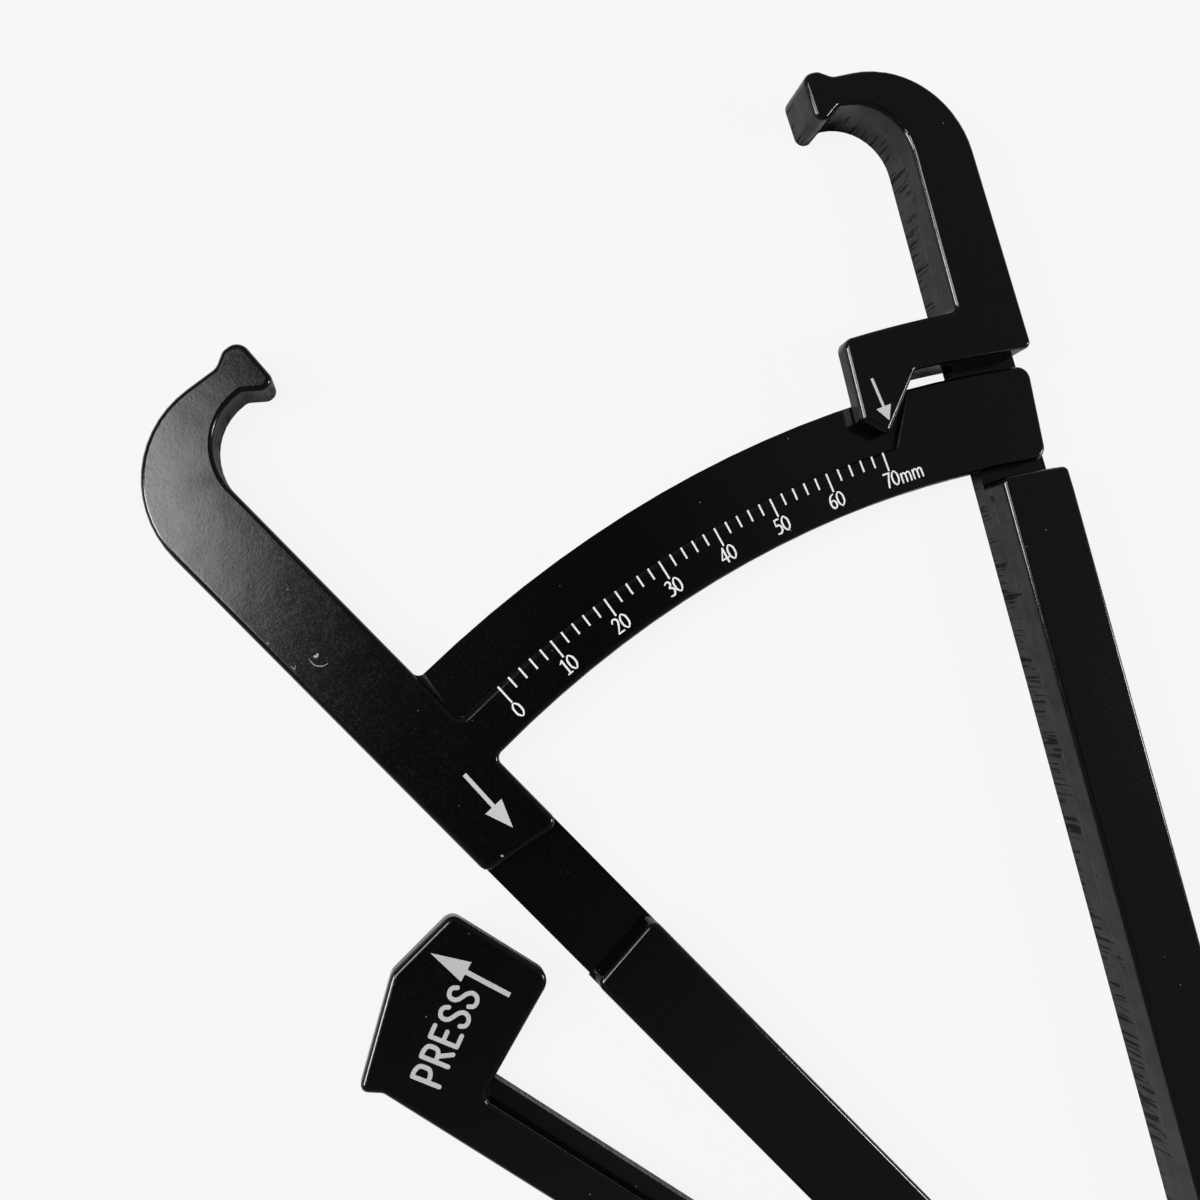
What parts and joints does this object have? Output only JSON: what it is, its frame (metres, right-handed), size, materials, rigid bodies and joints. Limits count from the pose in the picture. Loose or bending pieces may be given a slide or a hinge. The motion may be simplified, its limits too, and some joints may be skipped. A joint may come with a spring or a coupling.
{
  "type": "skinfold caliper",
  "caption": "Plastic skinfold caliper: two hooked jaws hinged at the foot, a curved millimetre scale with a pointer, and a sprung press lever.",
  "frame": {"origin": "on the main pivot's axis, in the flat back that the caliper lies on", "axes": "+Z along the pivot towards the printed front, +Y along the middle of the open jaws, +X towards the pointer arm"},
  "size_m": [0.1146, 0.186, 0.0098],
  "materials": {
    "black_abs": "satin black, glossy moulding",
    "pivot_steel": "nickel plated",
    "spring_steel": "drawn spring wire",
    "nylon": "natural nylon"
  },
  "bodies": {
    "scale_side": {"scale_arm": "black_abs", "pivot_barrel": "pivot_steel", "pivot_screw": "pivot_steel", "pivot_spacer": "nylon", "spring_washer": "spring_steel", "flat_washer": "pivot_steel", "lever_pin": "pivot_steel", "lever_ring": "spring_steel", "lever_spring": "spring_steel"},
    "pointer_side": {"pointer_arm": "black_abs", "pivot_cap": "black_abs"},
    "lever": {"press_lever": "black_abs"}
  },
  "joints": [
    {"name": "jaw_hinge", "type": "hinge", "parent": "scale_side", "child": "pointer_side", "pos_m": [0, 0, 0], "axis": [0, 0, 1], "range_deg": [-0.3, 23.47]},
    {"name": "press_hinge", "type": "hinge", "parent": "scale_side", "child": "lever", "pos_m": [-0.03124, 0.04417, 0], "axis": [0, 0, -1], "range_deg": [0, 14.5], "stiffness_Nm_per_rad": 0.95, "springref_deg": -8.02, "deforming": ["lever_spring"]}
  ]
}
